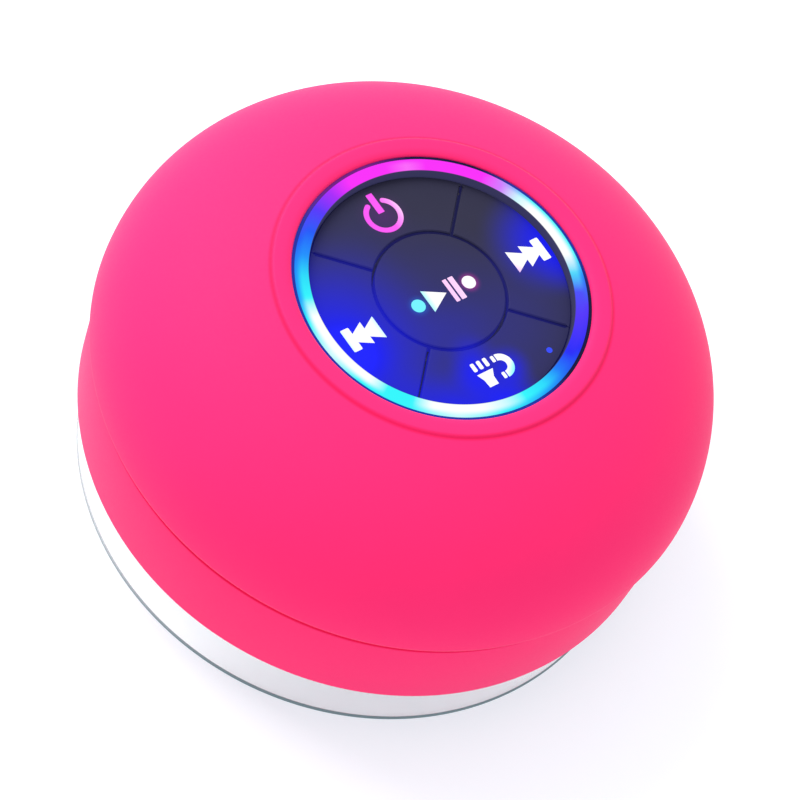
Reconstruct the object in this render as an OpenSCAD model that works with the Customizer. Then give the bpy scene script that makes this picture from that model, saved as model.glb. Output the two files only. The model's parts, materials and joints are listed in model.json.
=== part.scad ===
// Shower speaker: a round waterproof speaker on a clear suction cup.
// Millimetres, +Z up. The origin is the centre of the suction cup's rim, on the surface it sticks to.
// +Y points to the power key. The body stands upright here: the soft neck lets it lean.

/* [Body] */
// Radius of the dome at its widest ring
body_r = 43; // [42.5:0.25:44]
// Height of the dome's widest ring above the cup's rim
belt_z = 24.46; // [24:0.1:25]
// Rise of the dome's full curve above its widest ring
dome_rise = 24.64; // [24:0.1:25.5]
// Fullness of the dome's curve, where 2 is an ellipse
dome_power = 2.33; // [2.2:0.01:2.5]
// Height of the seam between dome and skirt
seam_z = 26; // [25.6:0.1:26.4]
// Radius of the skirt at its lower edge
skirt_r = 41.95; // [41.7:0.05:42.1]
// Height of the skirt's lower edge
skirt_z = 10.7; // [10.4:0.1:11]
// Thickness of the silicone covers
silicone_t = 1.6; // [1.4:0.1:1.8]
// Thickness of the hard plastic walls
wall_t = 1.8; // [1.5:0.1:2]

/* [Control panel] */
// Radius of the hole in the dome for the panel
panel_r = 20.17; // [20.1:0.05:20.4]
// Height of the silicone edge round the panel
panel_edge_z = 46.41; // [46.2:0.05:46.6]
// Height of the key tops
key_top_z = 45.05; // [44.9:0.05:45.2]
// Radius of the round centre key
centre_key_r = 8.8; // [8:0.1:9.5]
// Width of the grooves between the keys
groove_w = 0.42; // [0.3:0.02:0.6]
// Travel of a key
key_travel = 0.4; // [0.3:0.05:0.4]

/* [Suction cup] */
// Radius of the suction cup's rim
cup_r = 40.3; // [39.5:0.1:40.5]
// Thickness of the cup at its rim
cup_lip_t = 0.5; // [0.4:0.05:0.6]
// Rise of the cup for each unit of radius
cup_slope = 0.18; // [0.16:0.01:0.19]
// Height of the point about which the neck bends
neck_pivot_z = 9; // [8.5:0.25:9.5]

/* [Driver and battery] */
// Radius of the loudspeaker's frame
driver_r = 22.4; // [21:0.2:23]
// Length of the battery
battery_l = 38; // [36:0.5:39]
// Width of the battery
battery_w = 30; // [28:0.5:31]
// Thickness of the battery
battery_t = 5.6; // [5:0.1:5.8]

/* [Hidden] */
$fn = 96;

pink = [1.0, 0.22, 0.50];
clear_pvc = [0.86, 0.91, 0.93, 0.45];
slate = [0.16, 0.17, 0.26];
black_plastic = [0.08, 0.08, 0.09];
board_green = [0.05, 0.30, 0.18];
steel = [0.72, 0.73, 0.75];
lit = [0.95, 0.97, 1.0];

// Dome and shells
shell_r = body_r - silicone_t;
shell_rise = dome_rise - silicone_t;
inner_r = shell_r - wall_t;
inner_rise = shell_rise - wall_t;
valley_r = panel_r + 2.93;      // foot of the raised lip round the panel
lip_rise = 0.42;                // height of that lip above the valley
base_r = skirt_r - silicone_t - 0.05;
skirt_top_r = skirt_r + 0.35;   // the skirt widens a little towards the seam
seam_groove = [0.9, 1.4];       // depth and height of the groove under the dome's edge
base_z = skirt_z + 0.6;         // lower edge of the base shell's wall
base_top_z = seam_z - 0.1;
floor_z = skirt_z + wall_t;     // underside of the base floor
floor_top_z = floor_z + wall_t;
spigot_r = base_r - wall_t - 0.2;

// Screw posts that join base and dome, and the smaller ones that hold the board
post_r = 33;
post_angles = [45, 135, 225, 315];
board_boss_r = 24.4;

// Stack under the panel
key_t = 1.6;
key_z = key_top_z - key_t;
key_edge = 0.15;                // chamfer on the key tops
sector_outer_r = panel_r - 2.47;
ring_inner_r = sector_outer_r + 0.14;
ring_outer_r = panel_r - 0.47;
hairline_w = 0.12;
groove_tip_r = sector_outer_r - 0.6;
icon_depth = 0.4;
icon_drop = 0.67;               // the play marks sit a little below the centre
plunger_at_r = 13.2;
plunger_top_z = key_z - 0.5;
membrane_z = plunger_top_z - key_travel - 0.15;
board_top_z = membrane_z - 1.5;
board_t = 1.6;
board_under_z = board_top_z - board_t;
board_r = 26.8;
led_count = 12;
led_ring_r = 18.85;

// Battery above the magnet, and loudspeaker facing down on the base floor
battery = [battery_l, battery_w, battery_t];
gasket_z = floor_top_z;
basket_z = gasket_z + 1;
cone_outer_r = 16;
cone_inner_r = 6.8;
cone_z = basket_z + 0.7;
driver_screw_r = driver_r - 1.35;
cone_depth = 4;
magnet_z = basket_z + 8.7;
magnet_top_z = magnet_z + 6.4;
magnet_r = 12.5;
coil_gap_r = 7.1;

// Swivel joint between the cup's stud and the base
stud_r = 3.5;
socket_r = stud_r + 0.06;
stud_flange_z = floor_z - 1.3;
socket_cap_z = floor_z + 6.1;

// Charging port on the side behind the power key
port_z = 18.7;
port_opening = [9.6, 4.6];
flap = [12.2, 8.2];
flap_gap = 0.2;
flap_z = port_z - flap[1] / 2;
flap_face_r = skirt_r + 0.15;

// One quarter of a superellipse from angle a0 to a1, as points [r, z]
function arch(r, rise, a0, a1, steps = 28) = [
  for (i = [0 : steps]) let (a = a0 + (a1 - a0) * i / steps)
    [r * pow(cos(a), 2 / dome_power), belt_z + rise * pow(sin(a), 2 / dome_power)]
];
function arch_angle_at_r(r, r_max) = acos(pow(r / r_max, dome_power / 2));
function arch_angle_at_z(z, rise) = asin(pow((z - belt_z) / rise, dome_power / 2));
function arch_height(r, r_max, rise) =
  belt_z + rise * pow(1 - pow(r / r_max, dome_power), 1 / dome_power);
function cup_top(r) = cup_lip_t + cup_slope * (cup_r - r);
function circle_points(r, a0, a1, steps, centre = [0, 0]) = [
  for (i = [0 : steps]) let (a = a0 + (a1 - a0) * i / steps)
    centre + r * [cos(a), sin(a)]
];

// Solid of revolution of a closed outline [r, z]
module lathe(points) { rotate_extrude() polygon(points); }

module tube(outer, inner, z0, z1) {
  translate([0, 0, z0]) difference() {
    cylinder(r = outer, h = z1 - z0);
    translate([0, 0, -1]) cylinder(r = inner, h = z1 - z0 + 2);
  }
}

module disc(r, z0, z1) { translate([0, 0, z0]) cylinder(r = r, h = z1 - z0); }

// Block centred on x and y, standing on z
module block(size, at) {
  translate([at[0] - size[0] / 2, at[1] - size[1] / 2, at[2]]) cube(size);
}

// Insulated wire along straight runs, which overlap a little at each bend
module wire(points, r) {
  for (i = [0 : len(points) - 2]) {
    run = points[i + 1] - points[i];
    back = i > 0 ? r * 0.8 : 0;
    ahead = i < len(points) - 2 ? r * 0.8 : 0;
    translate(points[i]) rotate([0, atan2(norm([run[0], run[1]]), run[2]), atan2(run[1], run[0])])
      translate([0, 0, -back]) cylinder(r = r, h = norm(run) + back + ahead, $fn = 10);
  }
}

// Cross-head screw pointing up, its head below z = 0
module screw(head_r, head_h, shank_r, length) {
  difference() {
    translate([0, 0, -head_h]) cylinder(r = head_r, h = head_h);
    for (turn = [0, 90]) rotate([0, 0, turn])
      block([head_r * 1.3, head_r * 0.3, head_h * 0.6], [0, 0, -head_h - 0.1]);
  }
  cylinder(r = shank_r, h = length);
}

// ---- Suction cup, neck and stud ----

module suction_cup() color(clear_pvc) {
  boss_r = 6.4;
  boss_z = neck_pivot_z - 2.1;
  seat_r = cup_r - 1.6;
  lathe([
    [seat_r, 0], [cup_r, 0], [cup_r, cup_lip_t - 0.15], [cup_r - 0.2, cup_lip_t],
    [30, cup_top(30)], [12, cup_top(12)], [boss_r + 1.2, cup_top(8) + 0.1], [boss_r, boss_z], [0, boss_z],
    [0, 4.7], [8, 4.6], [14, cup_top(14) - 1.7], [30, cup_top(30) - 1.35]
  ]);
}

module cup_neck() color(clear_pvc) {
  waist_r = 4.4;
  foot_z = neck_pivot_z - 2.1;
  lathe(concat(
    [[0, foot_z], [6.2, foot_z]],
    circle_points(1.9, 240, 120, 10, [waist_r + 1.95, neck_pivot_z]),
    [[6, stud_flange_z], [0, stud_flange_z]]
  ));
}

module cup_stud() color(clear_pvc) {
  head_z = floor_z + 2.3;
  lathe([
    [0, stud_flange_z], [6, stud_flange_z], [6, floor_z - 0.2], [stud_r, floor_z - 0.2],
    [stud_r, head_z], [stud_r + 0.8, head_z + 0.2], [stud_r + 0.8, head_z + 0.8],
    [stud_r - 0.8, head_z + 2.6], [0, head_z + 2.6]
  ]);
}

// ---- Base ----

module socket_ring() color([0.93, 0.93, 0.92]) tube(6.2, socket_r, floor_z, floor_z + 2.1);

module sound_slots() {
  slot_count = 16;
  for (i = [0 : slot_count - 1]) rotate([0, 0, i * 360 / slot_count])
    translate([0, 0, floor_z - 1]) linear_extrude(wall_t + 2) {
      translate([10.6, 0]) circle(r = 0.9);
      translate([17.6, 0]) circle(r = 0.9);
      translate([10.6, -0.9]) square([7, 1.8]);
    }
}

module base_shell() color(black_plastic) difference() {
  union() {
    tube(base_r, base_r - wall_t, base_z, base_top_z);
    tube(base_r - wall_t + 0.1, 6.2, floor_z, floor_top_z);
    tube(7.6, 6.2, floor_z, socket_cap_z);
    disc(7.6, socket_cap_z - 0.9, socket_cap_z);
    for (side = [-1, 1]) block([2, 8, port_z - 2.4 - floor_top_z + 0.1], [side * 6, 31, floor_top_z - 0.1]);
  }
  sound_slots();
  for (a = post_angles) rotate([0, 0, a]) translate([post_r, 0, floor_z - 1]) cylinder(r = 1.25, h = 5);
  driver_holes(0.72, floor_top_z - 0.8, 2);
  block([port_opening[0], 10, port_opening[1]], [0, base_r, port_z - port_opening[1] / 2]);
}

module skirt_cover() color(pink) difference() {
  lathe([
    [base_r - wall_t, skirt_z], [skirt_r - 0.3, skirt_z], [skirt_r - 0.1, skirt_z + 0.1],
    [skirt_r, skirt_z + 0.4], [skirt_top_r, seam_z - seam_groove[1] - 0.12],
    [skirt_top_r - 0.12, seam_z - seam_groove[1]],
    [skirt_top_r - seam_groove[0], seam_z - seam_groove[1]], [skirt_top_r - seam_groove[0], base_top_z],
    [base_r, base_top_z], [base_r, base_z], [base_r - wall_t, base_z]
  ]);
  block([flap[0] + 2 * flap_gap, 20, flap[1] + 2 * flap_gap], [0, skirt_r, flap_z - flap_gap]);
}

module base_screws() color(steel) for (a = post_angles) rotate([0, 0, a])
  translate([post_r, 0, floor_z]) screw(2.2, 1, 1.1, 11);

module seal_ring() color([0.15, 0.15, 0.15])
  rotate_extrude() translate([spigot_r - 0.4, seam_z - 1.7]) circle(r = 0.55, $fn = 32);

// ---- Dome ----

module dome_shell() color(black_plastic) difference() {
  union() {
    lathe(concat(
      [[spigot_r - 1.8, seam_z - 3.5], [spigot_r, seam_z - 3.5], [spigot_r, seam_z]],
      arch(shell_r, shell_rise, arch_angle_at_z(seam_z, shell_rise),
           arch_angle_at_r(panel_r + 0.08, shell_r)),
      arch(inner_r, inner_rise, arch_angle_at_r(panel_r + 0.08, inner_r),
           arch_angle_at_z(seam_z + 1.6, inner_rise)),
      [[spigot_r - 1.8, seam_z + 1.6]]
    ));
    for (a = post_angles) rotate([0, 0, a]) {
      translate([post_r, 0, floor_top_z + 0.1]) cylinder(r = 3, h = 23);
      translate([board_boss_r, 0, board_top_z]) cylinder(r = 2.3, h = 2.3);
    }
  }
  tube(spigot_r + 1, spigot_r - 0.97, seam_z - 2.4, seam_z - 1);
  for (a = post_angles) rotate([0, 0, a]) {
    translate([post_r, 0, floor_top_z - 1]) cylinder(r = 1.12, h = 12);
    translate([board_boss_r, 0, board_top_z - 1]) cylinder(r = 0.8, h = 2.8);
  }
}

module dome_cover() color(pink) {
  valley_z = arch_height(valley_r, body_r, dome_rise);
  outer_start = arch_angle_at_z(seam_z + 0.3, dome_rise);
  lathe(concat(
    [[body_r - 0.35, seam_z]],
    arch(body_r, dome_rise, outer_start, arch_angle_at_r(valley_r, body_r), 36),
    [
      [valley_r - 0.55, valley_z + 0.36], [valley_r - 0.85, valley_z + lip_rise],
      [panel_r + 0.9, valley_z + lip_rise],
      [panel_r + 0.35, panel_edge_z + 0.2], [panel_r, panel_edge_z - 0.1]
    ],
    arch(shell_r, shell_rise, arch_angle_at_r(panel_r, shell_r), arch_angle_at_z(seam_z, shell_rise))
  ));
}

// ---- Panel ----

module panel_bezel() color([0.06, 0.06, 0.10]) {
  foot_z = membrane_z - 0.2;
  lathe([
    [ring_outer_r - 0.15, foot_z], [panel_r + 1.6, foot_z], [panel_r + 1.6, foot_z + 0.8],
    [panel_r - 0.03, foot_z + 0.8], [panel_r - 0.03, panel_edge_z - 0.26],
    [ring_outer_r + 0.03, panel_edge_z - 0.26], [ring_outer_r + 0.03, foot_z + 0.7],
    [ring_outer_r - 0.15, foot_z + 0.7]
  ]);
}

module light_ring() color(lit) {
  seat_z = membrane_z + 0.55;
  lathe([
    [led_ring_r - 0.55, seat_z], [ring_outer_r, seat_z], [ring_outer_r, panel_edge_z - 0.2],
    [ring_outer_r - 0.12, panel_edge_z - 0.1], [ring_inner_r + 0.12, panel_edge_z - 0.1],
    [ring_inner_r, panel_edge_z - 0.22], [ring_inner_r, key_z + 0.5], [led_ring_r - 0.55, key_z + 0.5]
  ]);
}

// Ring of all four outer keys, before it is cut into quarters
module key_annulus() {
  inner = centre_key_r + groove_w;
  lathe([
    [inner, key_z], [sector_outer_r + 0.45, key_z], [sector_outer_r + 0.45, key_z + 0.35],
    [sector_outer_r, key_z + 0.35], [sector_outer_r, key_top_z - key_edge],
    [sector_outer_r - key_edge, key_top_z], [inner + key_edge, key_top_z], [inner, key_top_z - key_edge]
  ]);
}

// Half of the gap on one side of an outer key: hairline, groove with a round tip, and its chamfer
module key_gap() {
  depth = key_t + 1;
  translate([0, -hairline_w / 2, key_z - 0.5]) cube([30, hairline_w, depth]);
  translate([0, -groove_w / 2, key_z - 0.5]) cube([groove_tip_r, groove_w, depth]);
  translate([groove_tip_r, 0, key_z - 0.5]) cylinder(r = groove_w / 2, h = depth, $fn = 32);
  translate([0, 0, key_top_z - key_edge]) rotate([90, 0, 90]) linear_extrude(groove_tip_r) polygon([
    [-groove_w / 2, 0], [-groove_w / 2 - key_edge - 0.1, key_edge + 0.1],
    [groove_w / 2 + key_edge + 0.1, key_edge + 0.1], [groove_w / 2, 0]
  ]);
}

// Outer key whose middle is at the angle facing, with its icon's recess and its plunger
module sector_key(facing) {
  difference() {
    intersection() {
      key_annulus();
      translate([0, 0, key_z - 1]) linear_extrude(key_t + 2) polygon([
        [0, 0], 40 * [cos(facing - 45), sin(facing - 45)], 40 * [cos(facing), sin(facing)],
        40 * [cos(facing + 45), sin(facing + 45)]
      ]);
    }
    for (side = [-45, 45]) rotate([0, 0, facing + side]) key_gap();
    children();
  }
  rotate([0, 0, facing]) translate([plunger_at_r, 0, plunger_top_z]) cylinder(r = 1.2, h = 0.6);
}

module icon_solid() {
  translate([0, 0, key_top_z - icon_depth]) linear_extrude(icon_depth) children();
}

module icon_recess() {
  translate([0, 0, key_top_z - icon_depth]) linear_extrude(icon_depth + 1) children();
}

// ---- Icon outlines, seen from above ----

// Arrow head with its base at x, pointing along sign
module arrow(x, sign, length = 3.1, height = 3.5) {
  polygon([[x, -height / 2], [x + sign * length, 0], [x, height / 2]]);
}

// Bar with round corners, from its lower left corner at
module bar(at, size, corner = 0.18) {
  translate(at) {
    translate([corner, 0]) square([size[0] - 2 * corner, size[1]]);
    translate([0, corner]) square([size[0], size[1] - 2 * corner]);
    for (x = [corner, size[0] - corner], y = [corner, size[1] - corner])
      translate([x, y]) circle(r = corner, $fn = 24);
  }
}

// Ring open at the top, with round ends, and its upright bar
module power_shape() {
  outer = 2.72;
  inner = 1.97;
  opening = 31.5;
  translate([-0.25, 13]) {
    difference() {
      circle(r = outer);
      circle(r = inner);
      polygon([[0, 0], 5 * [-sin(opening), cos(opening)], 5 * [sin(opening), cos(opening)]]);
    }
    for (side = [-1, 1]) rotate(side * opening) translate([0, (outer + inner) / 2])
      circle(r = (outer - inner) / 2, $fn = 32);
    bar([-0.5, 0.4], [1, 3.2], 0.12);
  }
}

module next_shape() {
  translate([0, -0.8]) {
    arrow(11.4, 1);
    arrow(13.55, 1);
    bar([15.5, -1.75], [1.3, 3.5]);
  }
}

module previous_shape() {
  translate([0, -0.95]) {
    arrow(-10.7, -1);
    arrow(-12.65, -1);
    bar([-15.85, -1.75], [1.3, 3.5]);
  }
}

module play_shape() {
  translate([0, -icon_drop]) {
    translate([-4.15, 0]) circle(r = 0.97, $fn = 48);
    arrow(-2.65, 1);
    bar([0.93, -1.8], [0.62, 3.6], 0.08);
    bar([1.82, -1.8], [0.8, 3.6], 0.08);
    translate([4.15, 0]) circle(r = 0.97, $fn = 48);
  }
}

// Hand over a handset: three short bars on a cup shape, beside an open ring
module call_shape() {
  for (x = [-3.27, -2.29, -1.3]) bar([x, -12.32], [0.58, 1.3], 0.2);
  polygon([
    [-3.25, -12.8], [-0.7, -12.8], [-1.25, -13.85], [-1.3, -15.05], [-2.7, -15.05], [-2.8, -13.85]
  ]);
  translate([0.55, -13.05]) {
    difference() {
      circle(r = 1.82, $fn = 64);
      circle(r = 0.84, $fn = 48);
      translate([-2, -2]) square([2, 4]);
    }
    for (y = [0.84, -1.8]) bar([-0.68, y], [0.5, 0.96], 0.16);
  }
}

module status_shape() { translate([7.85, -14.05]) circle(r = 0.42, $fn = 32); }

module key_power() color(slate) sector_key(90) icon_recess() power_shape();

module key_next() color(slate) sector_key(0) icon_recess() next_shape();

module key_call() color(slate) sector_key(270) {
  icon_recess() call_shape();
  icon_recess() status_shape();
}

module key_previous() color(slate) sector_key(180) icon_recess() previous_shape();

module key_play() color(slate) {
  difference() {
    lathe([
      [0, key_z], [centre_key_r, key_z], [centre_key_r, key_top_z - key_edge],
      [centre_key_r - key_edge, key_top_z], [0, key_top_z]
    ]);
    icon_recess() play_shape();
  }
  disc(1.2, plunger_top_z, key_z + 0.1);
}

module icon_power() color([1, 0.35, 0.95]) icon_solid() power_shape();
module icon_next() color(lit) icon_solid() next_shape();
module icon_call() color(lit) icon_solid() call_shape();
module icon_previous() color(lit) icon_solid() previous_shape();
module icon_play() color(lit) icon_solid() play_shape();
module status_lens() color([0.1, 0.2, 1]) icon_solid() status_shape();

// ---- Electronics ----

module keypad_membrane() color([0.30, 0.30, 0.33]) {
  disc(17.6, membrane_z - 0.5, membrane_z);
  tube(17.6, 16.8, board_top_z, membrane_z - 0.4);
}

module main_board() color(board_green) difference() {
  disc(board_r, board_top_z - board_t, board_top_z);
  for (a = post_angles) rotate([0, 0, a])
    translate([board_boss_r, 0, board_top_z - board_t - 1]) cylinder(r = 1.1, h = board_t + 2);
}

module tact_switches() color(steel) {
  switch = [4, 4, 0.55];
  block(switch, [0, 0, board_top_z]);
  disc(1, board_top_z + 0.5, board_top_z + 0.85);
  for (a = [0 : 90 : 270]) rotate([0, 0, a]) translate([plunger_at_r, 0, 0]) {
    block(switch, [0, 0, board_top_z]);
    disc(1, board_top_z + 0.5, board_top_z + 0.85);
  }
}

module ring_leds() color([1, 0.97, 0.85]) for (i = [0 : led_count - 1])
  rotate([0, 0, (i + 0.5) * 360 / led_count]) block([2, 1.6, 0.8], [led_ring_r, 0, board_top_z]);

module wireless_module() color([0.10, 0.14, 0.35]) block([13, 9, 1.4], [-8, 10, board_under_z - 1.4]);

module board_chips() color(black_plastic) {
  block([5, 6, 1.3], [9, 9, board_under_z - 1.3]);
  block([4, 5, 1.1], [12, -8, board_under_z - 1.1]);
  block([4, 4, 1], [-14, -6, board_under_z - 1]);
  for (x = [-4 : 2.5 : 6]) block([1.2, 0.7, 0.6], [x, -16, board_under_z - 0.6]);
}

module microphone() color(steel) translate([6, -20, board_under_z - 1.6]) cylinder(r = 2, h = 1.6);

module board_screws() color(steel) for (a = post_angles) rotate([0, 0, a])
  translate([board_boss_r, 0, board_under_z]) screw(1.7, 0.8, 0.78, 3.2);

module battery_cell() color([0.75, 0.76, 0.78]) block(battery, [0, 0, magnet_top_z + 1.2]);

module battery_pad() color([0.20, 0.20, 0.21])
  block([battery[0] - 4, battery[1] - 2, 1.1], [0, 0, magnet_top_z + 0.05]);

// ---- Loudspeaker ----

// Four holes on the driver's screw circle
module driver_holes(r, z, h) for (a = post_angles) rotate([0, 0, a])
  translate([driver_screw_r, 0, z]) cylinder(r = r, h = h);

module driver_gasket() color([0.12, 0.12, 0.12]) difference() {
  tube(driver_r - 0.3, driver_r - 2.8, gasket_z, basket_z);
  driver_holes(0.75, gasket_z - 1, 3);
}

module driver_basket() color([0.35, 0.36, 0.38]) difference() {
  lathe([
    [driver_r - 3.6, basket_z], [driver_r, basket_z], [driver_r, basket_z + 1.2],
    [driver_r - 2.6, basket_z + 1.2], [14, magnet_z - 0.2], [14, magnet_z],
    [coil_gap_r, magnet_z], [coil_gap_r, magnet_z - 1],
    [13, magnet_z - 1], [driver_r - 3.6, basket_z + 1.2]
  ]);
  for (a = [0 : 60 : 300]) rotate([0, 0, a]) block([9, 7, 4.6], [15.5, 0, basket_z + 2.2]);
  driver_holes(0.75, basket_z - 1, 4);
}

module driver_magnet() color([0.22, 0.22, 0.24]) lathe([
  [coil_gap_r, magnet_z], [magnet_r, magnet_z], [magnet_r, magnet_top_z], [0, magnet_top_z],
  [0, magnet_z + 0.3], [5.9, magnet_z + 0.3], [5.9, magnet_top_z - 1.6], [coil_gap_r, magnet_top_z - 1.6]
]);

module voice_coil() color([0.72, 0.45, 0.20])
  tube(cone_inner_r, cone_inner_r - 0.5, cone_z + cone_depth, magnet_top_z - 3.2);

module driver_cone() color([0.16, 0.16, 0.17]) lathe([
  [cone_outer_r, cone_z], [cone_outer_r, cone_z + 0.4], [cone_inner_r, cone_z + cone_depth + 0.4],
  [cone_inner_r, cone_z + cone_depth]
]);

module dust_cap() color([0.10, 0.10, 0.11]) {
  cap_r = cone_inner_r - 0.5;
  cap_z = cone_z + cone_depth + 0.5;
  lathe(concat(
    [for (p = circle_points(20.6, 270, 287.6, 6)) [p[0], cap_z + 19.63 + p[1]]],
    [[cap_r, cap_z + 0.4], [0, cap_z - 0.5]]
  ));
}

module driver_surround() color([0.07, 0.07, 0.07]) lathe(concat(
  [[driver_r - 3.7, cone_z + 0.5], [driver_r - 3.7, cone_z + 0.1]],
  circle_points(1.15, 0, -180, 12, [cone_outer_r + 1.3, cone_z + 0.1]),
  [[cone_outer_r + 0.05, cone_z + 0.1], [cone_outer_r + 0.05, cone_z + 0.5]],
  circle_points(0.75, -180, 0, 12, [cone_outer_r + 1.3, cone_z + 0.2])
));

module driver_screws() color(steel) for (a = post_angles) rotate([0, 0, a])
  translate([driver_screw_r, 0, basket_z + 1.2]) mirror([0, 0, 1]) screw(1.1, 0.7, 0.7, 2.6);

module splash_mesh() color([0.2, 0.2, 0.2]) tube(driver_r - 3, 7.8, floor_top_z, floor_top_z + 0.3);

// ---- Charging port ----

module port_board() color(board_green) block([16, 11, 1], [0, 31, port_z - 2.4]);

module port_socket() color(steel) difference() {
  block([7.5, 5.4, 2.8], [0, base_r - wall_t - 2.6, port_z - 1.4]);
  block([6.7, 4.8, 1.9], [0, base_r - wall_t - 1.7, port_z - 0.95]);
  block([3.8, 4.4, 0.5], [0, base_r - wall_t - 1.7, port_z - 1]);
}

module port_cover() color(pink) {
  intersection() {
    tube(flap_face_r, flap_face_r - 1.2, flap_z, flap_z + flap[1]);
    block([flap[0], 8, flap[1]], [0, skirt_r - 1, flap_z]);
  }
  block([7, 1.6, 2.6], [0, skirt_r - 1.7, port_z - 1.3]);
}

// ---- Wires ----

module wire_pair(points, step) for (side = [-1, 1])
  color(side < 0 ? "red" : "black") wire([for (p = points) p + side * step], 0.5);

module speaker_wires() wire_pair([
  [-2, -21, basket_z + 1.2], [-2, -22.5, basket_z + 9], [-2, -21, board_under_z - 3],
  [-2, -21, board_under_z]
], [1.3, 0, 0]);

module battery_wires() wire_pair([
  [battery[0] / 2, 0, magnet_top_z + 4], [battery[0] / 2 + 2.5, 0, magnet_top_z + 4],
  [battery[0] / 2 + 2.5, 0, board_under_z]
], [0, 1.2, 0]);

module port_wires() wire_pair([
  [0, 27, port_z - 1.4], [0, 27, port_z + 12], [0, 22, board_under_z - 3], [0, 22, board_under_z]
], [4, 0, 0]);

suction_cup();
cup_neck();
cup_stud();
socket_ring();
base_shell();
skirt_cover();
base_screws();
seal_ring();
dome_shell();
dome_cover();
panel_bezel();
light_ring();
keypad_membrane();
main_board();
tact_switches();
ring_leds();
wireless_module();
board_chips();
microphone();
board_screws();
battery_cell();
battery_pad();
driver_gasket();
driver_basket();
driver_magnet();
voice_coil();
driver_cone();
dust_cap();
driver_surround();
driver_screws();
splash_mesh();
port_board();
port_socket();
port_cover();
speaker_wires();
battery_wires();
port_wires();
key_power();
key_next();
key_call();
key_previous();
key_play();
icon_power();
icon_next();
icon_call();
icon_previous();
icon_play();
status_lens();
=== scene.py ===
"""Shower speaker: its looks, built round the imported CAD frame.

A round body in pink silicone carries a panel of five backlit keys inside a glowing ring, and stands on
a clear suction cup. Outlines are written in millimetres as (radius, height) pairs and become metres in
the mesh builders.
"""

import json
import logging
import math
from dataclasses import dataclass, field
from enum import Enum

import bpy
import bmesh
from mathutils import Matrix, Vector


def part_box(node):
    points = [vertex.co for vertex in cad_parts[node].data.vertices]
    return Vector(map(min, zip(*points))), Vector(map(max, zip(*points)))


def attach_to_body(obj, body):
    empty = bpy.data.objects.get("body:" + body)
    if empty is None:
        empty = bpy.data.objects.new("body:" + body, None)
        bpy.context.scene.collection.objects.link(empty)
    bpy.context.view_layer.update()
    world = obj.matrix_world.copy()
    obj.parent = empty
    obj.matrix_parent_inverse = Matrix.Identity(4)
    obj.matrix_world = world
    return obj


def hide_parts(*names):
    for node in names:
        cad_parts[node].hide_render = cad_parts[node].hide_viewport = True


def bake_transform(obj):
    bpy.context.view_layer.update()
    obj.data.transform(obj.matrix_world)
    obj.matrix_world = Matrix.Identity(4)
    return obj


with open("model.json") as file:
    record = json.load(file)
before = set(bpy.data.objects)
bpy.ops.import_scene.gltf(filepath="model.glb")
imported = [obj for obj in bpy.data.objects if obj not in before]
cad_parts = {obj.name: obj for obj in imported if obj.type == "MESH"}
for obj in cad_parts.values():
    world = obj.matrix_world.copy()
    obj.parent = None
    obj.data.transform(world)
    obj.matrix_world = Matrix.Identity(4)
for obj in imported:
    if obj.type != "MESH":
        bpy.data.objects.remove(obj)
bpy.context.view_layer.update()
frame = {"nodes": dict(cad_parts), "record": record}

MM = 0.001
MERGE_DISTANCE = 1e-7
ON_AXIS_MM = 1e-6
CREASE_DEGREES = 38
CAD_CREASE_DEGREES = 30
TURN_STEPS = 256

Outline = list[tuple[float, float]]
Point = tuple[float, float, float]
Colour = tuple[float, float, float]
Stops = tuple[tuple[float, Colour], ...]
Piece = bpy.types.Object
Socket = bpy.types.NodeSocket

log = logging.getLogger("shower_speaker")


class Body(Enum):
    """The CAD bodies that the new pieces ride on."""

    CUP = "cup"
    NECK = "neck"
    SPEAKER = "speaker"
    FLAP = "flap"


class Slot(Enum):
    """The record's material slots that new pieces take their finish from."""

    SILICONE = "pink_silicone"
    CLEAR = "clear_cup"
    GUIDE = "light_guide"


# ---- curves ----


def bend_through(points: Outline, steps: int) -> Outline:
    """Smooth curve that passes through every point.

    Args:
        points: the points to pass through, in order.
        steps: how many pieces each span is divided into.

    Returns:
        The points along the curve, ends included.
    """
    padded = [points[0], *points, points[-1]]
    curve: Outline = []
    for a, b, c, d in zip(padded, padded[1:], padded[2:], padded[3:]):
        for i in range(steps):
            t = i / steps
            weights = (
                -0.5 * t + t * t - 0.5 * t**3,
                1 - 2.5 * t * t + 1.5 * t**3,
                0.5 * t + 2 * t * t - 1.5 * t**3,
                -0.5 * t * t + 0.5 * t**3,
            )
            curve.append(tuple(sum(w * p[k] for w, p in zip(weights, (a, b, c, d))) for k in (0, 1)))
    return [*curve, points[-1]]


def arc(centre: tuple[float, float], radius: float, start: float, end: float, steps: int = 8) -> Outline:
    """Points along a circular arc, angles in degrees."""
    angles = [math.radians(start + (end - start) * i / steps) for i in range(steps + 1)]
    return [(centre[0] + radius * math.cos(a), centre[1] + radius * math.sin(a)) for a in angles]


def rounded_rectangle(width: float, height: float, radius: float) -> Outline:
    """Outline of a rectangle with round corners.

    Args:
        width: its whole width.
        height: its whole height.
        radius: radius of the corners.

    Returns:
        The points, anticlockwise round the origin.
    """
    x, y = width / 2 - radius, height / 2 - radius
    corners = [((x, y), 0), ((-x, y), 90), ((-x, -y), 180), ((x, -y), 270)]
    return [p for centre, start in corners for p in arc(centre, radius, start, start + 90)]


# ---- meshes ----


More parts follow.
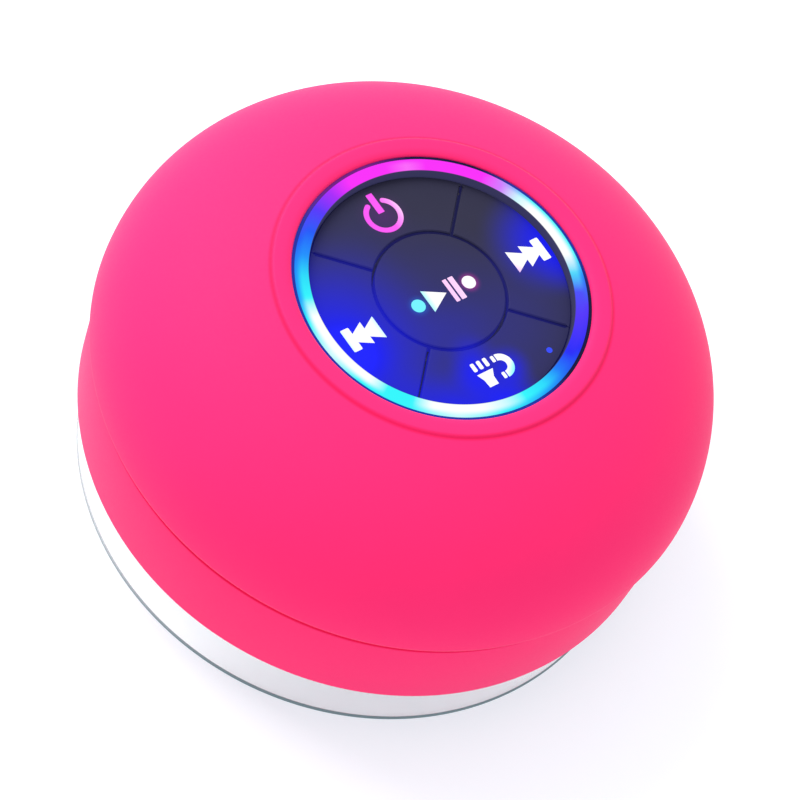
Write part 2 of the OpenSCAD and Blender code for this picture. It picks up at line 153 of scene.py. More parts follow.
def piece_from(name: str, vertices: list[Point], faces: list[tuple[int, ...]]) -> Piece:
    """Makes a smooth-shaded object with its normals facing out.

    Args:
        name: the piece's name.
        vertices: the corners, in metres.
        faces: the corner numbers of each face.

    Returns:
        The new object, in the scene.
    """
    mesh = bpy.data.meshes.new(name)
    mesh.from_pydata(vertices, [], faces)
    sheet = bmesh.new()
    sheet.from_mesh(mesh)
    bmesh.ops.remove_doubles(sheet, verts=sheet.verts, dist=MERGE_DISTANCE)
    bmesh.ops.recalc_face_normals(sheet, faces=sheet.faces)
    sheet.to_mesh(mesh)
    sheet.free()
    piece = bpy.data.objects.new(name, mesh)
    bpy.context.scene.collection.objects.link(piece)
    shade(piece)
    return piece


def shade(piece: Piece, crease_degrees: float = CREASE_DEGREES) -> None:
    """Shades a piece smooth, but for edges sharper than the crease angle."""
    piece.data.polygons.foreach_set("use_smooth", [True] * len(piece.data.polygons))
    piece.data.set_sharp_from_angle(angle=math.radians(crease_degrees))


def revolve(name: str, outline: Outline, steps: int = TURN_STEPS) -> Piece:
    """Turns a closed outline about +Z.

    Args:
        name: the piece's name.
        outline: corners as (radius, height) in millimetres, without repeating the first.
        steps: how many segments the full turn has.

    Returns:
        The new object, in metres.
    """
    vertices, rings = [], []
    for radius, height in outline:
        turns = steps if radius > ON_AXIS_MM else 1
        rings.append((len(vertices), turns))
        for i in range(turns):
            a = 2 * math.pi * i / steps
            vertices.append((radius * MM * math.cos(a), radius * MM * math.sin(a), height * MM))
    faces = []
    for (first, turns), (second, next_turns) in zip(rings, rings[1:] + rings[:1]):
        if turns == next_turns == 1:
            continue
        for i in range(steps):
            j = (i + 1) % steps
            corners = [
                first + i % turns, first + j % turns, second + j % next_turns, second + i % next_turns
            ]
            faces.append(tuple(dict.fromkeys(corners)))
    return piece_from(name, vertices, faces)


def cut_away(piece: Piece, cutter: Piece) -> None:
    """Takes the cutter's space out of the piece, and removes the cutter.

    Args:
        piece: the piece that loses material.
        cutter: the closed solid to take out of it.
    """
    modifier = piece.modifiers.new("cut", "BOOLEAN")
    modifier.operation = "DIFFERENCE"
    modifier.solver = "EXACT"
    modifier.object = cutter
    bpy.context.view_layer.update()
    cut = bpy.data.meshes.new_from_object(piece.evaluated_get(bpy.context.evaluated_depsgraph_get()))
    piece.modifiers.clear()
    piece.data = cut
    bpy.data.objects.remove(cutter)
    shade(piece)


def wrapped_pad(
    name: str, outline: Outline, layers: list[tuple[float, float]], centre_z: float
) -> Piece:
    """Pad wrapped on an upright cylinder about Z, on its +Y side.

    Args:
        name: the piece's name.
        outline: closed outline in the pad's own width and height, in millimetres.
        layers: (inset, radius) of each ring, from the inner face over the rim to the outer face.
        centre_z: height of the pad's centre.

    Returns:
        The new object, in metres.
    """
    half_w = max(x for x, _ in outline)
    half_h = max(y for _, y in outline)
    count = len(outline)
    vertices, faces = [], []
    for inset, radius in layers:
        for x, z in outline:
            across = x * max(0.0, 1 - inset / half_w)
            upward = z * max(0.0, 1 - inset / half_h)
            depth = math.sqrt(radius**2 - across**2)
            vertices.append((across * MM, depth * MM, (centre_z + upward) * MM))
    for k in range(len(layers) - 1):
        for i in range(count):
            j = (i + 1) % count
            faces.append((k * count + i, k * count + j, (k + 1) * count + j, (k + 1) * count + i))
    faces.append(tuple(range(count)))
    faces.append(tuple(range((len(layers) - 1) * count, len(layers) * count)))
    return piece_from(name, vertices, faces)


# ---- finishes ----


# The Mix node's sockets for colours, by number, because its other kinds bear the same names
MIX_INPUTS = (0, 6, 7)
MIX_OUTPUT = 2
NO_LIGHT: Colour = (0.0, 0.0, 0.0)


class Sheet:
    """A material's node tree while it is drawn up."""

    def __init__(self, name: str) -> None:
        """Starts a material with one Principled shader.

        Args:
            name: the material's name.
        """
        self.material = bpy.data.materials.new(name)
        self.material.use_nodes = True
        self.tree = self.material.node_tree
        self.shader = self.tree.nodes["Principled BSDF"]
        self.place = self.node("ShaderNodeTexCoord").outputs["Object"]

    def node(self, kind: str, **settings: object) -> bpy.types.Node:
        """Adds a node.

        Args:
            kind: the node's type.
            **settings: the properties to set on it.

        Returns:
            The new node.
        """
        made = self.tree.nodes.new(kind)
        for key, value in settings.items():
            setattr(made, key, value)
        return made

    def put(self, value: object, socket: Socket) -> None:
        """Links a socket to another, or sets it to a plain value.

        Args:
            value: an output socket, a number, or a colour.
            socket: the input to fill.
        """
        if isinstance(value, Socket):
            self.tree.links.new(value, socket)
        elif socket.type == "RGBA":
            socket.default_value = (*value, 1.0)
        else:
            socket.default_value = value

    def set(self, **values: object) -> None:
        """Sets or links the shader's inputs, with underscores for spaces."""
        for key, value in values.items():
            self.put(value, self.shader.inputs[key.replace("_", " ")])

    def base(self) -> Socket:
        """The socket that the shader's colour comes from so far."""
        return self.shader.inputs["Base Color"].links[0].from_socket

    def calc(self, operation: str, *values: object) -> Socket:
        """Result of a math node.

        Args:
            operation: what the node does.
            *values: the numbers or sockets that it works on.

        Returns:
            The socket that holds the result.
        """
        made = self.node("ShaderNodeMath", operation=operation)
        for value, socket in zip(values, made.inputs):
            self.put(value, socket)
        return made.outputs[0]

    def noise(self, lumps_per_m: float, detail: float) -> Socket:
        """Noise from 0 to 1.

        Args:
            lumps_per_m: about how many lumps it has in a metre.
            detail: how many finer layers lie over them.

        Returns:
            The socket that holds the noise.
        """
        made = self.node("ShaderNodeTexNoise")
        self.put(self.place, made.inputs["Vector"])
        self.put(lumps_per_m, made.inputs["Scale"])
        self.put(detail, made.inputs["Detail"])
        return made.outputs["Fac"]

    def remap(self, value: Socket, kind: str = "LINEAR", **ends: float) -> Socket:
        """Maps one range of values to another.

        Args:
            value: the socket to map.
            kind: how it runs between the ends.
            **ends: From_Min, From_Max, To_Min and To_Max, where they aren't 0 and 1.

        Returns:
            The socket that holds the mapped value.
        """
        made = self.node("ShaderNodeMapRange", interpolation_type=kind)
        self.put(value, made.inputs["Value"])
        for key, end in ends.items():
            self.put(end, made.inputs[key.replace("_", " ")])
        return made.outputs["Result"]

    def between(self, factor: Socket, low: float, high: float) -> Socket:
        """Maps a factor from 0..1 to low..high."""
        return self.remap(factor, To_Min=low, To_Max=high)

    def fade(self, value: Socket, start: float, end: float) -> Socket:
        """Smooth step that is 0 at start and 1 at end."""
        return self.remap(value, "SMOOTHSTEP", From_Min=start, From_Max=end)

    def fade_mm(self, length: Socket, start: float, end: float) -> Socket:
        """Smooth step along a length, with its start and end in millimetres."""
        return self.fade(length, start * MM, end * MM)

    def mix(self, factor: object, first: object, second: object, blend: str = "MIX") -> Socket:
        """Mix of two colours.

        Args:
            factor: 0 for the first colour alone, 1 for all of the second.
            first: the colour that lies below.
            second: the colour that is laid over it.
            blend: how it is laid over.

        Returns:
            The socket that holds the mixed colour.
        """
        made = self.node("ShaderNodeMix", data_type="RGBA", blend_type=blend)
        for value, index in zip((factor, first, second), MIX_INPUTS):
            self.put(value, made.inputs[index])
        return made.outputs[MIX_OUTPUT]

    def ramp(self, factor: Socket, stops: Stops) -> Socket:
        """Colour ramp.

        Args:
            factor: where along the ramp, from 0 to 1.
            stops: (position, colour) of each stop, in order.

        Returns:
            The socket that holds the colour.
        """
        made = self.node("ShaderNodeValToRGB")
        self.put(factor, made.inputs["Fac"])
        elements = made.color_ramp.elements
        for element, (position, colour) in zip(elements, (stops[0], stops[-1])):
            element.position = position
            element.color = (*colour, 1.0)
        for position, colour in stops[1:-1]:
            elements.new(position).color = (*colour, 1.0)
        return made.outputs["Color"]

    def bump(self, height: Socket, strength: float, depth_mm: float) -> None:
        """Adds relief to the shader.

        Args:
            height: the socket that holds the relief.
            strength: how strongly it shows.
            depth_mm: how deep it is.
        """
        made = self.node("ShaderNodeBump")
        self.put(strength, made.inputs["Strength"])
        self.put(depth_mm * MM, made.inputs["Distance"])
        self.put(height, made.inputs["Height"])
        self.put(made.outputs["Normal"], self.shader.inputs["Normal"])

    def axes(self) -> tuple[Socket, ...]:
        """Splits up the place of the point being shaded.

        Returns:
            Its x, y and z, in metres.
        """
        made = self.node("ShaderNodeSeparateXYZ")
        self.put(self.place, made.inputs[0])
        return tuple(made.outputs)

    def along(self, way: tuple[float, float]) -> Socket:
        """How far the point being shaded lies along a level direction, in metres."""
        x, y, _ = self.axes()
        return self.calc("ADD", self.calc("MULTIPLY", x, way[0]), self.calc("MULTIPLY", y, way[1]))

    def axis_distance(self) -> Socket:
        """Distance from the body's axis, in metres."""
        x, y, _ = self.axes()
        return self.calc("SQRT", self.calc("ADD", self.calc("MULTIPLY", x, x), self.calc("MULTIPLY", y, y)))

    def distance_from(self, spot_mm: Point) -> Socket:
        """Distance from a spot.

        Args:
            spot_mm: where the spot is, in millimetres.

        Returns:
            The socket that holds the distance, in metres.
        """
        made = self.node("ShaderNodeVectorMath", operation="DISTANCE")
        self.put(self.place, made.inputs[0])
        self.put(tuple(v * MM for v in spot_mm), made.inputs[1])
        return made.outputs["Value"]


@dataclass(frozen=True)
class Finish:
    """A moulded surface: one colour, a little uneven, with fine relief. Other finishes build on it."""

    name: str
    colour: Colour
    roughness: float = 0.5
    roughness_swing: float = 0.15
    metallic: float = 0.0
    spread: float = 0.12
    patches_per_m: float = 180
    grain_per_m: float = 2500
    relief_mm: float = 0.02
    relief_strength: float = 0.25
    specular: float = 0.5
    glow: Colour = NO_LIGHT

    def sheet(self) -> Sheet:
        """Draws up the node tree.

        Returns:
            The sheet, which the finishes built on this one add to.
        """
        made = Sheet(self.name)
        patches = made.noise(self.patches_per_m, 4)
        grain = made.noise(self.grain_per_m, 3)
        darker = tuple(c * (1 - self.spread) for c in self.colour)
        lighter = tuple(min(1.0, c * (1 + self.spread)) for c in self.colour)
        smoother, rougher = (self.roughness * (1 + side * self.roughness_swing) for side in (-1, 1))
        made.set(
            Base_Color=made.mix(patches, darker, lighter),
            Roughness=made.between(grain, smoother, min(1.0, rougher)),
            Metallic=self.metallic,
            Specular_IOR_Level=self.specular,
            Emission_Color=self.glow,
            Emission_Strength=1.0,
        )
        made.bump(grain, self.relief_strength, self.relief_mm)
        return made

    def material(self) -> bpy.types.Material:
        """The finished material."""
        return self.sheet().material


@dataclass(frozen=True)
class SoftSilicone(Finish):
    """Matte, slightly powdery silicone rubber, with painted shade in the crease round the panel."""

    sheen: float = 0.08
    sheen_roughness: float = 0.45
    sheen_tint: Colour = (1.0, 0.75, 0.85)
    # The crease fields paint shade into a narrow ring round the foot of the panel's lip.
    crease_mm: float = 22.95
    crease_half_mm: float = 0.45
    crease_shade_colour: Colour = (0.72, 0.006, 0.085)

    def sheet(self) -> Sheet:
        """Adds the sheen and the painted shade in the crease.

        Returns:
            The finished sheet.
        """
        made = super().sheet()
        # Painted shade: the colour darkens towards the crease, where shade falls.
        away = made.calc("ABSOLUTE", made.calc("SUBTRACT", made.axis_distance(), self.crease_mm * MM))
        crease = made.fade_mm(away, self.crease_half_mm, 0.0)
        made.set(
            Base_Color=made.mix(crease, made.base(), self.crease_shade_colour),
            Sheen_Weight=self.sheen,
            Sheen_Roughness=self.sheen_roughness,
            Sheen_Tint=self.sheen_tint,
        )
        return made


@dataclass(frozen=True)
class ClearVinyl(Finish):
    """Soft clear vinyl: milkier where it is thick, with a painted dark line at its cut rim standing in for
    refraction, darker on the shaded side.

    Its gleam is a painted highlight standing in for a well-lit room, fading to painted shade on one side.
    """

    haze: float = 0.20
    thick_haze: float = 0.62
    thick_colour: Colour = (0.50, 0.58, 0.62)
    thick_span_mm: tuple[float, float] = (30, 8)
    # Emission colours of the painted highlight and of its painted shade on one side.
    lit_gleam: Colour = (0.50, 0.55, 0.55)
    shaded_gleam: Colour = (0.02, 0.02, 0.02)
    gleam_shade_span_mm: tuple[float, float] = (24, 40)
    shaded_way: tuple[float, float] = (-0.45, -0.89)
    # Painted dark rim line standing in for refraction at the cut rim, fainter on the lit side.
    rim_shade_colour: Colour = (0.10, 0.17, 0.19)
    rim_inner_mm: float = 40.1
    rim_edge_mm: float = 0.06
    rim_top_mm: float = 0.50
    rim_fade_mm: float = 0.50
    rim_cover: float = 0.92
    rim_shade_least: float = 0.50
    rim_shade_span_mm: tuple[float, float] = (-10, 38)
    coat: float = 0.2
    coat_roughness: float = 0.05

    def sheet(self) -> Sheet:
        """Adds see-through, the painted gleam and its painted shade, and the painted dark rim line.

        Returns:
            The finished sheet.
        """
        made = super().sheet()
        _, _, height = made.axes()
        radius = made.axis_distance()
        across = made.along(self.shaded_way)
        inside, outside = (self.rim_inner_mm + side * self.rim_edge_mm for side in (-1, 1))
        low = made.fade_mm(height, self.rim_top_mm + self.rim_fade_mm, self.rim_top_mm)
        edge = made.calc("MULTIPLY", made.fade_mm(radius, inside, outside), low)
        # Painted shade: the rim line is darkest along the shaded way.
        rim_shade_strength = made.between(made.fade_mm(across, *self.rim_shade_span_mm), self.rim_shade_least, 1.0)
        rim = made.calc("MULTIPLY", edge, rim_shade_strength)
        thick = made.fade_mm(radius, *self.thick_span_mm)
        # Painted highlight as emission, faded to painted shade along the shaded way.
        gleam = made.mix(made.fade_mm(across, *self.gleam_shade_span_mm), self.lit_gleam, self.shaded_gleam)
        gleam = made.mix(thick, gleam, NO_LIGHT)
        clear = made.mix(thick, self.colour, self.thick_colour)
        haze = made.between(thick, self.haze, self.thick_haze)
        made.set(
            Base_Color=made.mix(rim, clear, self.rim_shade_colour),
            Emission_Color=made.mix(edge, gleam, NO_LIGHT),
            Alpha=made.calc("MAXIMUM", haze, made.calc("MULTIPLY", rim, self.rim_cover)),
            Coat_Weight=self.coat,
            Coat_Roughness=self.coat_roughness,
        )
        return made


@dataclass(frozen=True)
class GlowSpot:
    """A patch of coloured light that shines through the key plastic."""

    at_mm: tuple[float, float]
    reach_mm: float
    colour: Colour
    strength: float


@dataclass(frozen=True)
class GlowingKey(Finish):
    """Dark satin key plastic, with the light of the board shining through in patches."""

    top_mm: float = 45.0
    falloff: float = 1.3
    drowned_colour: Colour = (0.002, 0.002, 0.004)
    drowned_gain: float = 1.1
    drowned_most: float = 0.96
    groove_light: Colour = (0.010, 0.010, 0.055)
    groove_span_mm: tuple[float, float] = (0.15, 0.45)
    lights: tuple[GlowSpot, ...] = ()

    def sheet(self) -> Sheet:
        """Adds the patches of light, one over the other, and darkens the plastic that they drown.

        Returns:
            The finished sheet.
        """
        made = super().sheet()
        light: object = NO_LIGHT
        drowned: object = 0.0
        for spot in self.lights:
            away = made.distance_from((*spot.at_mm, self.top_mm))
            share = made.calc("POWER", made.fade_mm(away, spot.reach_mm, 0.0), self.falloff)
            share = made.calc("MULTIPLY", share, spot.strength)
            light = made.mix(share, light, spot.colour, "ADD")
            drowned = made.calc("ADD", drowned, share)
        drowned = made.calc("MINIMUM", made.calc("MULTIPLY", drowned, self.drowned_gain), self.drowned_most)
        _, _, height = made.axes()
        start, end = (self.top_mm - depth for depth in self.groove_span_mm)
        light = made.mix(made.fade_mm(height, start, end), light, self.groove_light, "ADD")
        made.set(Base_Color=made.mix(drowned, made.base(), self.drowned_colour), Emission_Color=light)
        return made


@dataclass(frozen=True)
class RingGlow(Finish):
    """Light whose colour runs round a ring: an inner part, a deeper outer part and a dark inner wall."""

    turn_mm: float = 19.2
    spread_mm: float = 0.5
    wall_mm: float = 0.0
    wall_span_mm: tuple[float, float] = (-0.03, 0.05)
    face_mm: float = 46.0
    face_depth_mm: float = 0.1
    wall_colour: Colour = (0.020, 0.020, 0.042)
    wall_light: Colour = (0.026, 0.025, 0.075)
    inner: Stops = ()
    outer: Stops = ()

    def sheet(self) -> Sheet:
        """Adds the light that runs round the ring.

        Returns:
            The finished sheet.
        """
        made = super().sheet()
        x, y, height = made.axes()
        radius = made.axis_distance()
        turn = made.calc("DIVIDE", made.calc("ARCTAN2", y, x), 2 * math.pi)
        turn = made.calc("FRACT", made.calc("ADD", turn, 1.0))
        inner, outer = (
            made.ramp(turn, tuple((degrees / 360, colour) for degrees, colour in stops))
            for stops in (self.inner, self.outer)
        )
        start, end = (self.turn_mm + side * self.spread_mm for side in (-1, 1))
        light = made.mix(made.fade_mm(radius, start, end), inner, outer)
        inside, outside = (self.wall_mm + step for step in self.wall_span_mm)
        top = made.fade_mm(height, self.face_mm - self.face_depth_mm, self.face_mm)
        face = made.calc("MULTIPLY", made.fade_mm(radius, inside, outside), top)
        made.set(
            Base_Color=made.mix(face, self.wall_colour, self.colour),
            Emission_Color=made.mix(face, self.wall_light, light),
        )
        return made


@dataclass(frozen=True)
class LitIcon(Finish):
    """Translucent inlay lit from below, its tint running along one direction."""

    across: tuple[float, float] = (1.0, 0.0)
    start_mm: float = -1.0
    end_mm: float = 1.0
    tints: Stops = ()

    def sheet(self) -> Sheet:
        """Adds the light.

        Returns:
            The finished sheet.
        """
        made = super().sheet()
        along = made.along(self.across)
        share = made.remap(along, From_Min=self.start_mm * MM, From_Max=self.end_mm * MM)
        made.set(Emission_Color=made.ramp(share, self.tints))
        return made


@dataclass(frozen=True)
class WovenMesh(Finish):
    """Fine woven cloth of crossing threads."""

    thread_per_m: float = 2600
    weave_strength: float = 0.6
    weave_mm: float = 0.06

    def sheet(self) -> Sheet:
        """Adds the two sets of threads.

        Returns:
            The finished sheet.
        """
        made = super().sheet()
        x, y, _ = made.axes()
        pitch = self.thread_per_m * math.pi
        warp, weft = (made.calc("SINE", made.calc("MULTIPLY", way, pitch)) for way in (x, y))
        made.bump(made.calc("MULTIPLY", warp, weft), self.weave_strength, self.weave_mm)
        return made


@dataclass(frozen=True)
class CircuitBoard(Finish):
    """Solder mask with the pale lines of tracks under it."""

    track_colour: Colour = (0.06, 0.26, 0.13)
    cells_per_m: float = 260
    track_span: tuple[float, float] = (0.07, 0.04)

    def sheet(self) -> Sheet:
        """Adds the tracks.

        Returns:
            The finished sheet.
        """
        made = super().sheet()
        cells = made.node("ShaderNodeTexVoronoi", distance="MANHATTAN", feature="DISTANCE_TO_EDGE")
        made.put(made.place, cells.inputs["Vector"])
        made.put(self.cells_per_m, cells.inputs["Scale"])
        line = made.fade(cells.outputs["Distance"], *self.track_span)
        made.set(Base_Color=made.mix(line, self.colour, self.track_colour))
        return made


@dataclass(frozen=True)
class Winding(Finish):
    """Copper wire wound round a former."""

    turns_per_m: float = 5000
    wire_strength: float = 0.8
    wire_mm: float = 0.08

    def sheet(self) -> Sheet:
        """Adds the turns.

        Returns:
            The finished sheet.
        """
        made = super().sheet()
        _, _, z = made.axes()
        turns = made.calc("SINE", made.calc("MULTIPLY", z, self.turns_per_m * 2 * math.pi))
        made.bump(turns, self.wire_strength, self.wire_mm)
        return made


WHITE: Colour = (1.0, 1.0, 1.0)
MAGENTA: Colour = (0.95, 0.025, 0.95)
ROSE_LIGHT: Colour = (0.95, 0.14, 0.95)
LILAC: Colour = (0.64, 0.20, 1.0)
VIOLET: Colour = (0.38, 0.02, 0.95)
INDIGO: Colour = (0.09, 0.035, 0.95)
BLUE: Colour = (0.017, 0.02, 0.95)
AZURE: Colour = (0.01, 0.20, 0.95)
SKY: Colour = (0.01, 0.36, 0.97)
CYAN: Colour = (0.03, 0.92, 0.97)
ICE: Colour = (0.60, 0.95, 1.0)
BLACK: Colour = (0.003, 0.004, 0.040)
NAVY: Colour = (0.012, 0.030, 0.36)
PLUM: Colour = (0.16, 0.010, 0.22)

# Light of the ring and of the bezel round their turn: (degrees anticlockwise from +X, colour)
RING_INNER: Stops = (
    (0, WHITE), (14, WHITE), (21, ICE), (29, LILAC), (38, MAGENTA), (62, MAGENTA), (70, ROSE_LIGHT),
    (79, MAGENTA), (97, MAGENTA), (107, VIOLET), (117, INDIGO), (128, (0.013, 0.10, 0.95)),
    (140, (0.01, 0.28, 0.97)), (150, (0.02, 0.72, 0.95)), (160, CYAN), (169, WHITE), (203, WHITE),
    (211, CYAN), (222, CYAN), (230, WHITE), (251, WHITE), (261, ICE), (270, CYAN),
    (280, (0.02, 0.72, 0.97)), (290, AZURE), (300, BLUE), (320, INDIGO), (331, (0.07, 0.08, 0.95)),
    (340, (0.07, 0.70, 0.97)), (349, WHITE), (360, WHITE),
)
RING_OUTER: Stops = (
    (0, CYAN), (16, CYAN), (25, (0.30, 0.40, 1.0)), (36, MAGENTA), (96, MAGENTA), (107, VIOLET),
    (117, INDIGO), (133, (0.01, 0.10, 0.92)), (147, (0.01, 0.27, 0.95)), (160, SKY), (171, CYAN),
    (186, ICE), (200, CYAN), (222, CYAN), (240, ICE), (258, CYAN), (279, SKY),
    (292, (0.01, 0.12, 0.90)), (304, BLUE), (324, INDIGO), (338, AZURE), (348, CYAN), (360, CYAN),
)
BEZEL_GLOW: Stops = (
    (0, NAVY), (25, NAVY), (40, BLACK), (68, BLACK), (85, PLUM), (105, PLUM), (125, NAVY),
    (275, NAVY), (292, BLACK), (330, BLACK), (348, NAVY), (360, NAVY),
)

KEY_BLUE: Colour = (0.002, 0.006, 1.0)
KEY_LIGHTS = (
    GlowSpot((-17.5, -1.0), 20.0, KEY_BLUE, 0.85),
    GlowSpot((-16.5, -3.0), 8.0, KEY_BLUE, 0.50),
    GlowSpot((-13.0, -12.5), 7.0, KEY_BLUE, 0.35),
    GlowSpot((-8.0, -16.5), 8.0, KEY_BLUE, 0.75),
    GlowSpot((-3.5, -12.5), 4.5, KEY_BLUE, 0.60),
    GlowSpot((-2.0, -10.0), 4.5, KEY_BLUE, 0.35),
    GlowSpot((1.5, -13.5), 4.0, KEY_BLUE, 0.60),
    GlowSpot((-1.5, -17.5), 6.5, KEY_BLUE, 0.80),
    GlowSpot((-6.0, 9.0), 12.0, KEY_BLUE, 0.05),
    GlowSpot((-1.0, -9.0), 19.0, KEY_BLUE, 0.13),
    GlowSpot((10.0, -6.0), 14.0, KEY_BLUE, 0.05),
    GlowSpot((-1.0, -5.5), 7.0, KEY_BLUE, 0.08),
    GlowSpot((2.0, 4.0), 9.0, KEY_BLUE, 0.03),
    GlowSpot((17.5, 0.0), 10.0, KEY_BLUE, 0.85),
    GlowSpot((17.0, -4.5), 5.0, KEY_BLUE, 0.20),
    GlowSpot((4.2, -0.7), 1.9, (0.90, 0.03, 0.50), 0.60),
    GlowSpot((-4.1, -0.7), 2.0, (0.01, 0.25, 0.80), 0.50),
    GlowSpot((-0.3, 13.0), 4.6, (0.20, 0.005, 0.30), 0.20),
)

FINISHES: dict[str, Finish] = {
    "pink_silicone": SoftSilicone(
        "rose silicone", (0.90, 0.018, 0.142), roughness=0.65, spread=0.02, relief_mm=0.012, specular=0.12
    ),
    "clear_cup": ClearVinyl(
        "clear vinyl", (0.93, 0.95, 0.96), roughness=0.15, spread=0.01, grain_per_m=400, relief_mm=0.003
    ),
    "black_shell": Finish("black moulded shell", (0.020, 0.020, 0.022), roughness=0.48, relief_mm=0.03),
    "white_plastic": Finish("white snap ring", (0.80, 0.80, 0.77), roughness=0.30, spread=0.03),
    "key_slate": GlowingKey(
        "backlit key", (0.020, 0.019, 0.042), roughness=0.50, spread=0.06, relief_mm=0.004, specular=0.10,
        lights=KEY_LIGHTS,
    ),
    "light_guide": RingGlow(
        "ring light guide", (0.004, 0.004, 0.006), roughness=0.50, relief_mm=0.004, specular=0.03,
        wall_mm=17.9, inner=RING_INNER, outer=RING_OUTER,
    ),
    "bezel_dark": RingGlow(
        "dark bezel", (0.004, 0.004, 0.008), roughness=0.50, specular=0.05, inner=BEZEL_GLOW, outer=BEZEL_GLOW
    ),
    "screw_steel": Finish("zinc screw", (0.62, 0.63, 0.65), roughness=0.32, metallic=1.0, grain_per_m=6000),
    "seal_rubber": Finish("black rubber", (0.015, 0.015, 0.015), roughness=0.7),
    "membrane_rubber": Finish(
        "grey rubber membrane", (0.05, 0.05, 0.06), roughness=0.65, glow=(0.012, 0.012, 0.060)
    ),
    "board_green": CircuitBoard("green board", (0.010, 0.085, 0.045), roughness=0.35),
    "chip_black": Finish("chip epoxy", (0.018, 0.018, 0.018), roughness=0.6, relief_mm=0.03),
    "tin_can": Finish("tinned can", (0.72, 0.72, 0.74), roughness=0.25, metallic=1.0),
    "led_body": Finish("led lens", (0.85, 0.80, 0.55), roughness=0.3),
    "battery_foil": Finish("cell pouch", (0.62, 0.64, 0.66), roughness=0.38, metallic=0.9, relief_mm=0.08),
    "foam_pad": Finish("foam", (0.030, 0.030, 0.032), roughness=0.95, relief_mm=0.25, grain_per_m=1500),
    "basket_steel": Finish("black painted basket", (0.030, 0.030, 0.033), roughness=0.4, relief_mm=0.04),
    "magnet_ferrite": Finish("ferrite", (0.040, 0.040, 0.044), roughness=0.6, metallic=0.4, relief_mm=0.05),
    "coil_copper": Winding("copper winding", (0.70, 0.28, 0.12), roughness=0.35, metallic=1.0),
    "cone_paper": Finish("pressed paper cone", (0.020, 0.020, 0.021), roughness=0.85, relief_mm=0.12),
    "mesh_cloth": WovenMesh("splash cloth", (0.020, 0.020, 0.022), roughness=0.8),
    "wire_red": Finish("wire jacket", (0.42, 0.015, 0.015), roughness=0.4),
    "module_blue": CircuitBoard("wireless module", (0.010, 0.030, 0.160), roughness=0.35),
}


def inlay(name: str, **light: object) -> LitIcon:
    """Milky key inlay, with its own light."""
    return LitIcon(name, (0.05, 0.05, 0.06), roughness=0.4, specular=0.1, **light)


ICON_FINISHES: dict[str, Finish] = {
    "icon_power": inlay(
        "power inlay", start_mm=-3.0, end_mm=2.5,
        tints=(
            (0.0, (0.90, 0.02, 0.85)), (0.6, (0.92, 0.03, 0.85)), (0.85, (1.0, 0.25, 0.90)),
            (1.0, (1.0, 0.55, 0.95)),
        ),
    ),
    "icon_next": inlay(
        "next inlay", across=(0.8, 0.6), start_mm=7.6, end_mm=9.4,
        tints=((0.0, (0.85, 0.45, 1.0)), (0.7, WHITE), (1.0, WHITE)),
    ),
    "icon_call": inlay(
        "call inlay", across=(0.7, -0.7), start_mm=8.0, end_mm=12.0,
        tints=((0.0, WHITE), (0.60, WHITE), (0.78, (0.25, 0.92, 1.0)), (1.0, (0.15, 0.85, 1.0))),
    ),
    "icon_previous": inlay(
        "previous inlay", start_mm=-16.0, end_mm=-10.6,
        tints=((0.0, ICE), (0.12, WHITE), (0.85, WHITE), (1.0, ICE)),
    ),
    "icon_play": inlay(
        "play inlay", start_mm=-5.2, end_mm=5.2,
        tints=(
            (0.0, (0.10, 0.83, 0.92)), (0.2, (0.10, 0.83, 0.92)), (0.25, (0.40, 0.95, 1.0)), (0.33, WHITE),
            (0.52, WHITE), (0.58, (1.0, 0.55, 0.95)), (0.76, (1.0, 0.62, 0.95)), (0.85, WHITE), (1.0, WHITE),
        ),
    ),
    "status_lens": LitIcon(
        "status lens", (0.02, 0.03, 0.20), roughness=0.4, specular=0.1, start_mm=7.0, end_mm=8.5,
        tints=((0.0, (0.008, 0.02, 0.80)), (1.0, (0.01, 0.04, 0.85))),
    ),
}


class FinishRack:
    """Makes each finish once and hands out its material."""

    def __init__(self) -> None:
        """Starts with nothing made."""
        self.made: dict[str, bpy.types.Material] = {}

    def get(self, finish: Finish) -> bpy.types.Material:
        """The material of a finish, made on first use.

        Args:
            finish: the finish that is wanted.

        Returns:
            Its material.
        """
        if finish.name not in self.made:
            self.made[finish.name] = finish.material()
        return self.made[finish.name]

    def dress(self, piece: Piece, finish: Finish) -> None:
        """Gives a piece one finish all over."""
        piece.data.materials.clear()
        piece.data.materials.append(self.get(finish))


RACK = FinishRack()


def attach(piece: Piece, body: Body, slot: Slot) -> None:
    """Dresses a new piece in its slot's finish and lets it ride on its body.

    Args:
        piece: the new object.
        body: the CAD body that it moves with.
        slot: the record's material slot, which also names its finish.
    """
    RACK.dress(piece, FINISHES[slot.value])
    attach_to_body(piece, body.value)


def settle(piece: Piece, body: Body, slot: Slot, *nodes: str) -> Piece:
    """Attaches a new piece and has it stand for its CAD nodes.

    Args:
        piece: the new object.
        body: the CAD body that it moves with.
        slot: the record's material slot, which also names its finish.
        *nodes: the CAD nodes that it replaces.

    Returns:
        The same piece.
    """
    attach(piece, body, slot)
    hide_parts(*nodes)
    return piece


# ---- body ----


